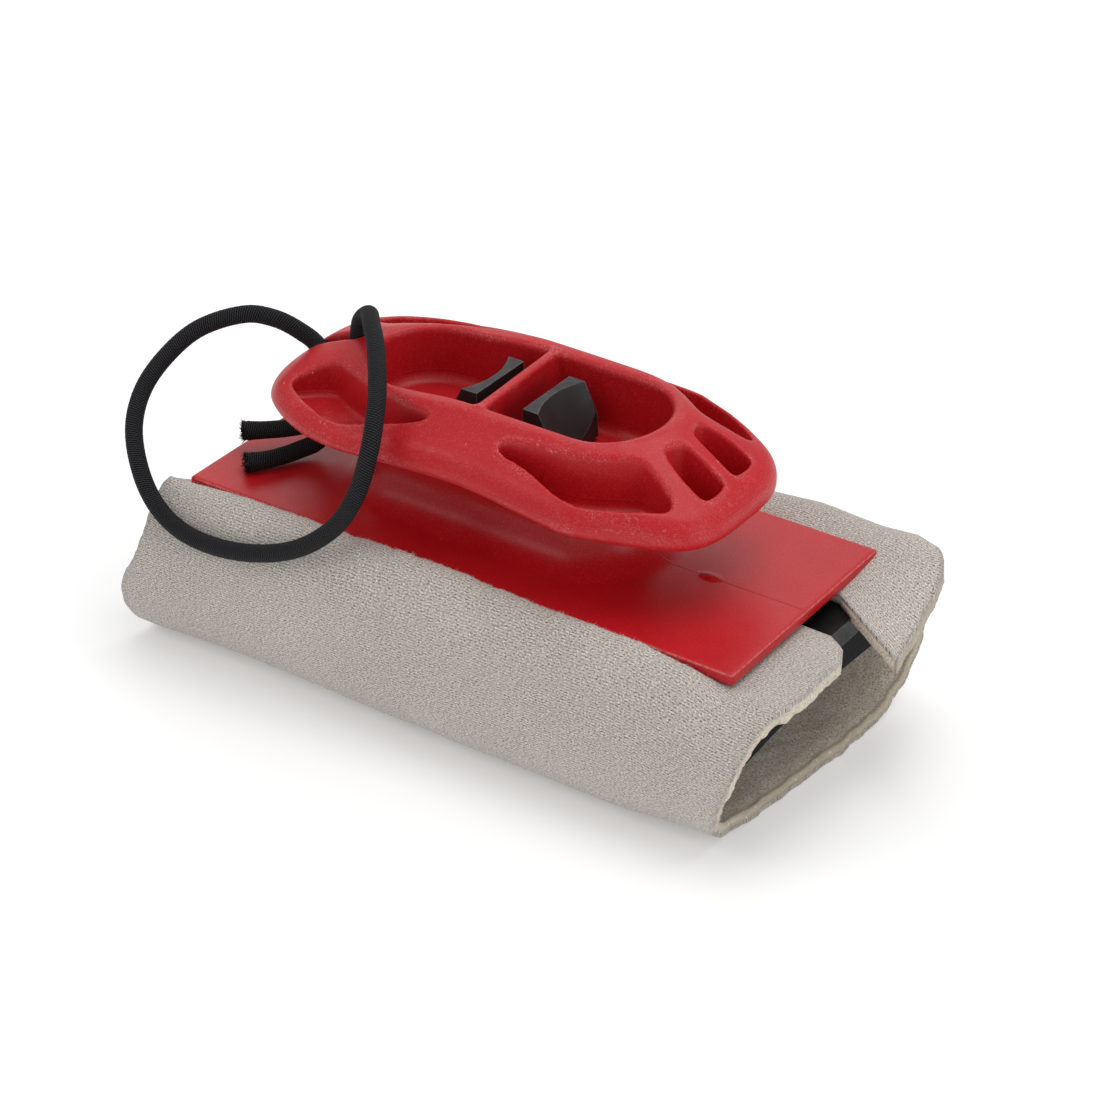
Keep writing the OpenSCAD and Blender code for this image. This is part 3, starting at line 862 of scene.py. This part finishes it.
# The grid is finer in Z through the plate
handle_grids = (np.arange(-71.25, 71.3, 0.5), np.arange(-30.75, 30.8, 0.5),
                np.concatenate([np.arange(36.9, 41.0, 0.3), np.arange(41.3, 74.8, 0.5)]))
field = handle_field(*handle_grids).astype(np.float32)
handle_points, handle_quads, handle_normals, slopes = surface_nets(field, handle_grids)
# The cleat's convex edges are where the moulding has rubbed and bloomed
spread = sum(np.gradient(slopes[a], handle_grids[a], axis=a) for a in range(3))
convex = smoothstep(0.05, 0.5, sample(spread, handle_points - 0.2 * handle_normals, handle_grids))
handle_mesh = mesh_from("handle_moulding", mm(handle_points), handle_quads, normals=handle_normals)
float_attribute(handle_mesh, "worn", convex * smoothstep(55, 60, handle_points[:, 2]))
handle = new_object("handle_moulding", handle_mesh)
paint(handle, RED)
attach(handle, "tourniquet")
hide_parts("handle_body")

# ---------------- wrap

# Outer profile at three stations, as (Y, Z), from the front edge under the plate round to the back edge
profile_mid = [(0.0, 36.8), (-9, 36.8), (-18, 36.8), (-26.5, 36.9), (-29.3, 38.0), (-31.0, 40.1),
               (-33.4, 39.8), (-37.4, 36.2), (-40.2, 30), (-41.4, 21.5), (-41.2, 13.5), (-39.6, 7.8),
               (-36.2, 3.2), (-31.4, 0.6), (-24, 0), (-8, 0), (8, 0), (20, 0.0), (29.5, 1.4), (36, 5.4),
               (39.8, 12.0), (41.0, 21), (40.8, 30), (39.0, 37.0), (36.0, 39.8), (32.6, 39.8), (30.0, 38.2),
               (27, 36.8), (20, 36.8), (14, 36.8)]
profile_right = [(0.0, 36.0), (-9, 36.2), (-18, 36.2), (-26.5, 36.0), (-29.6, 35.8), (-32.2, 34.6),
                 (-34.6, 33.0), (-37.4, 29.8), (-39.8, 25.0), (-40.8, 18), (-40, 11.4), (-37, 5.6),
                 (-31.6, 2), (-24, 0.4), (-8, 0.1), (8, 0), (20, 0.3), (29, 2.2), (35.6, 6.2), (40.4, 12),
                 (43.2, 20), (43.2, 29), (42.2, 35.6), (39.9, 39.1), (36.4, 40.2), (32.6, 39.9), (28, 38.9),
                 (21, 38), (14, 37.2)]
profile_left = [(0.0, 36.4), (-9, 36.4), (-18, 36.4), (-26.5, 36.6), (-29.4, 37.6), (-31.2, 39.2),
                (-33.6, 38.8), (-37.6, 35.2), (-41.0, 29.0), (-42.4, 21.5), (-42.4, 13.5), (-40.8, 7.4),
                (-37.4, 3), (-32.4, 0.5), (-25, 0), (-8, 0), (8, 0), (20, 0.0), (29.5, 1.4), (36, 5.0),
                (39.4, 10.0), (40.4, 16), (40.0, 22), (38.4, 26.4), (35.6, 28.6), (32, 29.6), (27, 30.6),
                (20, 31.6), (14, 32.6)]
PROFILE_STEPS = 600
# X of the right and the left cut end, along a profile of nominal length from the front edge
NOMINAL = 205
right_end = [(0, 76), (3, 80.6), (7, 82.0), (14, 82.4), (22, 82.6), (30, 81.5), (38, 79), (50, 76),
             (62, 72.3), (75, 69.8), (95, 72.2), (115, 74.2), (135, 75.4), (150, 76), (163, 76.4),
             (171, 76.8), (178, 78.8), (182, 81.8), (186, 85.4), (196, 89.2), (205, 92.2)]
left_end = [(0, -68), (22, -68), (26, -72), (29, -75.5), (33, -74.3), (40, -74.4), (48, -75.2), (53, -76.4),
            (57, -78.1), (61, -80.2), (65, -81.3), (72, -80.4), (120, -80), (140, -79), (152, -77),
            (165, -71), (174, -66), (205, -66)]
# Height of the lip pushed up along the plate's front edge, and of the swelling behind its tail, along X
lip_height = ([-72, -62, -50, -40, -23, -12, 3, 13, 23, 33, 43, 55, 62, 70],
              [0.3, 0.5, 0.8, 1.1, 1.7, 2.2, 1.9, 1.6, 1.3, 1.1, 0.9, 1.2, 1.4, 0.5])
hump_height = ([20, 36, 50, 58, 66, 74, 79, 84], [0, 1.1, 1.0, 0.4, 0.1, 0.7, -0.5, -0.3])
# How much further than the profile the back edge reaches, along X
back_reach = ([66, 70, 82, 90, 93], [0, 0.4, 8.6, 14.0, 16.4])
# Steps of the sheets round the profile and along X, and the thicknesses of the knit and the foam
NS, NX = 300, 330
FACE, FOAM_T = 0.9, 1.5


def noise2(u, v, seed):
    """Smooth repeatable noise in two variables, about -1 to 1."""
    rng = np.random.default_rng(seed)
    k = rng.uniform(-1, 1, (256, 256))
    i, j = np.floor(u).astype(int), np.floor(v).astype(int)
    f, g = u - i, v - j
    f, g = f * f * (3 - 2 * f), g * g * (3 - 2 * g)
    a = k[i % 256, j % 256] * (1 - f) + k[(i + 1) % 256, j % 256] * f
    b = k[i % 256, (j + 1) % 256] * (1 - f) + k[(i + 1) % 256, (j + 1) % 256] * f
    return a * (1 - g) + b * g


def end_along(s, length, table):
    """X of a cut end, at lengths s round a profile of this length."""
    return np.interp(s, [e[0] * length / NOMINAL for e in table], [e[1] for e in table])


def wrap_surface():
    """Outer surface of the wrap: a grid of points, the length round the cloth of each row, and X."""
    mid, right, left = (spline(p, PROFILE_STEPS) for p in (profile_mid, profile_right, profile_left))
    length = np.linalg.norm(np.diff(mid, axis=0), axis=1).sum()
    u = np.linspace(0, 1, NS)
    s = u * length
    # The cut ends are a little ragged
    x_right = end_along(s, length, right_end)
    x_right = x_right + 0.34 * hash_noise(s / 3.6, 3) + 0.2 * hash_noise(s / 0.9, 4)
    x_left = end_along(s, length, left_end)
    x_left = x_left + 0.25 * hash_noise(s / 3.7, 5) + 0.12 * hash_noise(s / 1.3, 6)
    v = np.linspace(0, 1, NX)
    X = x_left[:, None] + v[None, :] * (x_right - x_left)[:, None]
    # Shares of the right and left profiles; the right one starts nearer the middle at the back
    back = smoothstep(0.6, 0.7, u)[:, None]
    to_right = smoothstep(45, 80, X) * (1 - back) + smoothstep(28, 56, X) * back
    to_left = smoothstep(-50, -80, X)
    # The back edge slants forward past the plate, into a flared tip
    near_edge = smoothstep(0.87, 1.0, u)[:, None] * np.ones_like(X)
    shift = np.interp(X, *back_reach) * near_edge / length
    place = u[:, None] + shift

    def at(profile):
        grid = np.linspace(0, 1, PROFILE_STEPS)
        y = np.interp(place, grid, profile[:, 0])
        z = np.interp(place, grid, profile[:, 1])
        over = np.maximum(place - 1, 0) * length
        return y - over, z - 0.02 * over

    (ym, zm), (yr, zr), (yl, zl) = at(mid), at(right), at(left)
    Y = ym * (1 - to_right - to_left) + yr * to_right + yl * to_left
    Z = zm * (1 - to_right - to_left) + zr * to_right + zl * to_left
    # The cloth is pushed up along the plate's front edge, most a little left of the middle
    zero = X * 0
    uneven = 0.10 * noise2(X / 2.9 + 11, zero + 5, 41) + 0.10 * noise2(X / 0.7 + 11, zero + 9, 42)
    lip = np.interp(X, *lip_height) * (1 + uneven)
    rows = s[:, None]
    # and stands a little higher behind the plate's tail
    hump = np.interp(X, *hump_height)
    hump = hump * smoothstep(140, 165, rows) * (1 - smoothstep(182, 196, rows))
    Y, Z = Y + 0.42 * hump, Z + 0.9 * hump
    Z = Z + lip * smoothstep(27.5, 31.5, rows) * (1 - smoothstep(35, 46, rows))
    return np.stack([X, Y, Z], -1), s, X


def grid_normals(pts):
    """Unit normals of a grid of points."""
    du = np.gradient(pts, axis=0)
    dv = np.gradient(pts, axis=1)
    n = np.cross(du, dv)
    return n / np.maximum(np.linalg.norm(n, axis=2), 1e-9)[..., None]


def sheet_mesh(name, outer, inner, s, X, mat):
    """A closed sheet between two grids of points, with its cut edges."""
    a, b = outer.shape[:2]
    verts = np.vstack([outer.reshape(-1, 3), inner.reshape(-1, 3)])
    i, j = np.meshgrid(np.arange(a - 1), np.arange(b - 1), indexing="ij")
    q = np.stack([i * b + j, (i + 1) * b + j, (i + 1) * b + j + 1, i * b + j + 1], -1).reshape(-1, 4)
    # Round the border: first row, last column, last row backwards, first column backwards
    border = np.concatenate([np.arange(b), np.arange(1, a) * b + b - 1,
                             (a - 1) * b + np.arange(b - 2, -1, -1), np.arange(a - 2, 0, -1) * b])
    after = np.roll(border, -1)
    edge_quads = np.stack([border, after, after + a * b, border + a * b], 1)
    mesh = mesh_from(name, mm(verts), np.vstack([q, q[:, ::-1] + a * b, edge_quads]))
    uv = mesh.uv_layers.new(name="cloth")
    flat = np.stack([np.repeat(s[:, None], b, 1), X], -1).reshape(-1, 2) * MM
    corner = np.zeros(len(mesh.loops), np.int32)
    mesh.loops.foreach_get("vertex_index", corner)
    uv.data.foreach_set("uv", np.vstack([flat, flat])[corner].ravel().astype(np.float32))
    # The cut ends are browned a little at the front, and fully along the floor and the back
    edge = np.minimum(X - X[:, :1], X[:, -1:] - X)
    cut = (1 - smoothstep(0.3, 1.5, edge)) * (0.4 + 0.6 * smoothstep(62, 95, s))[:, None]
    float_attribute(mesh, "cut", np.tile(cut.reshape(-1), 2))
    obj = new_object(name, mesh)
    paint(obj, mat)
    return obj


pts, s_len, XX = wrap_surface()
nrm = grid_normals(pts)
# Normals point outwards, which is down on the floor
if nrm[NS // 2, NX // 2, 2] > 0:
    nrm = -nrm
SS = np.repeat(s_len[:, None], NX, 1)
waves = 0.35 * noise2(XX / 23 + 40, SS / 15 + 7, 11) + 0.16 * noise2(XX / 9 + 60, SS / 7 + 3, 12)
# No waves where the cloth is clamped under the plate
free = smoothstep(28, 34, SS) * (1 - smoothstep(s_len[-1] - 34, s_len[-1] - 28, SS))
outer = pts + nrm * (waves * free)[..., None]
outer[..., 2] = np.maximum(outer[..., 2], 0.0)
# The foam swells where nothing presses on it, by the right-hand mouth
swell = 1.0 * smoothstep(60, 76, XX)[..., None]
middle = outer - nrm * FACE
inner = outer - nrm * (FACE + FOAM_T + swell)
# The knit's inner side stops just short of the foam
glue_gap = 0.02
face = sheet_mesh("wrap_knit_face", outer, middle + nrm * glue_gap, s_len, XX, KNIT)
foam_in = inner + nrm * (0.12 * noise2(XX / 1.7 + 30, SS / 1.7 + 30, 21))[..., None]
liner = sheet_mesh("wrap_foam_liner", middle, foam_in, s_len, XX, FOAM)
for piece, node in ((face, "wrap_face"), (liner, "wrap_foam")):
    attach(piece, "tourniquet")
    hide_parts(node)


def lint_roots():
    """Roots and ways of the lint: the crest along the plate's front edge, and the cut ends."""
    crest = np.argmin(np.abs(s_len - 31.5))
    lip = slice(crest - 3, crest + 3)
    lip_at, lip_n = outer[lip].reshape(-1, 3), nrm[lip].reshape(-1, 3)
    keep = np.abs(lip_at[:, 0]) < 72
    # The right-hand cut end past the clamped part, and the right half of the back edge
    seen = 44
    ends = outer[seen:, -1] - 0.4 * nrm[seen:, -1]
    along = np.tile([1.0, 0, 0], (len(ends), 1)) + 0.3 * nrm[seen:, -1]
    flap = outer[-1, NX // 2 :] - 0.4 * nrm[-1, NX // 2 :]
    out = np.tile([0, -1.0, 0.3], (len(flap), 1))
    return (lip_at[keep], lip_n[keep] + [0, 0.5, 0]), (np.vstack([ends, flap]), np.vstack([along, out]))


for name, spots, count in zip(("wrap_lint_front", "wrap_lint_ends"), lint_roots(), (1900, 1300)):
    fibres(name, *spots, count, len(name), LINT, "knit_face", 0.62, 0.032)

# ---------------- black parts


def edge_bevel(obj, width):
    mod = obj.modifiers.new("edges", "BEVEL")
    mod.width = width * MM
    mod.segments = 3
    mod.limit_method = "ANGLE"
    mod.angle_limit = math.radians(30)


# These keep the CAD's shape, and get a material and an edge radius
for name, mat, slot_name, width in (
    ("clip_plate", CLIP_PAINTED_SHADE, "black_plastic", 0.4),
    ("pressure_pad", PAD, "black_pad", 0.6),
    ("release_tab_left", BLACK, "black_plastic", 0.25),
    ("release_tab_right", BLACK, "black_plastic", 0.25),
    ("hook_strip_front", HOOK, "hook_tape", 0.1),
    ("hook_strip_back", HOOK, "hook_tape", 0.1),
):
    paint(nodes[name], mat)
    edge_bevel(nodes[name], width)

# ---------------- floor and light


def floor():
    m = Nodes("studio_floor")
    mat = m.surface({"Base Color": (0.95, 0.95, 0.95, 1), "Roughness": 0.8,
                     "Emission Color": (1, 1, 1, 1), "Emission Strength": 0.19})
    # A little below zero, so that it doesn't meet the wrap's underside
    r, z = 6.0, -0.0002
    mesh = bpy.data.meshes.new("floor")
    mesh.from_pydata([(-r, -r, z), (r, -r, z), (r, r, z), (-r, r, z)], [], [(0, 1, 2, 3)])
    obj = new_object("floor", mesh)
    mesh.materials.append(mat)


floor()


def area_light(name, loc, target, size, power):
    """A white panel; places and sizes in metres, power in watts."""
    data = bpy.data.lights.new(name, "AREA")
    data.shape = "RECTANGLE"
    data.size, data.size_y = size
    data.energy = power
    obj = bpy.data.objects.new(name, data)
    bpy.context.scene.collection.objects.link(obj)
    obj.location = loc
    obj.rotation_euler = (Vector(target) - Vector(loc)).to_track_quat("-Z", "Y").to_euler()


area_light("key", (0.2, 0.28, 1.28), (0, 0, 0.03), (1.0, 1.0), 7.5)
area_light("front", (-0.55, -0.6, 0.78), (0, 0, 0.04), (0.4, 0.3), 0.95)
area_light("side", (1.1, -0.12, 0.42), (0, 0, 0.03), (0.6, 0.5), 1.6)
area_light("sheen", (-0.62, 0.9, 0.62), (0, 0, 0.04), (0.9, 0.5), 1.2)

world = bpy.data.worlds.new("studio")
bpy.context.scene.world = world
world.use_nodes = True
bg = world.node_tree.nodes.get("Background") or world.node_tree.nodes.new("ShaderNodeBackground")
bg.inputs["Color"].default_value = (1, 1, 1, 1)
bg.inputs["Strength"].default_value = 0.505
bpy.context.scene.view_settings.view_transform = "Standard"
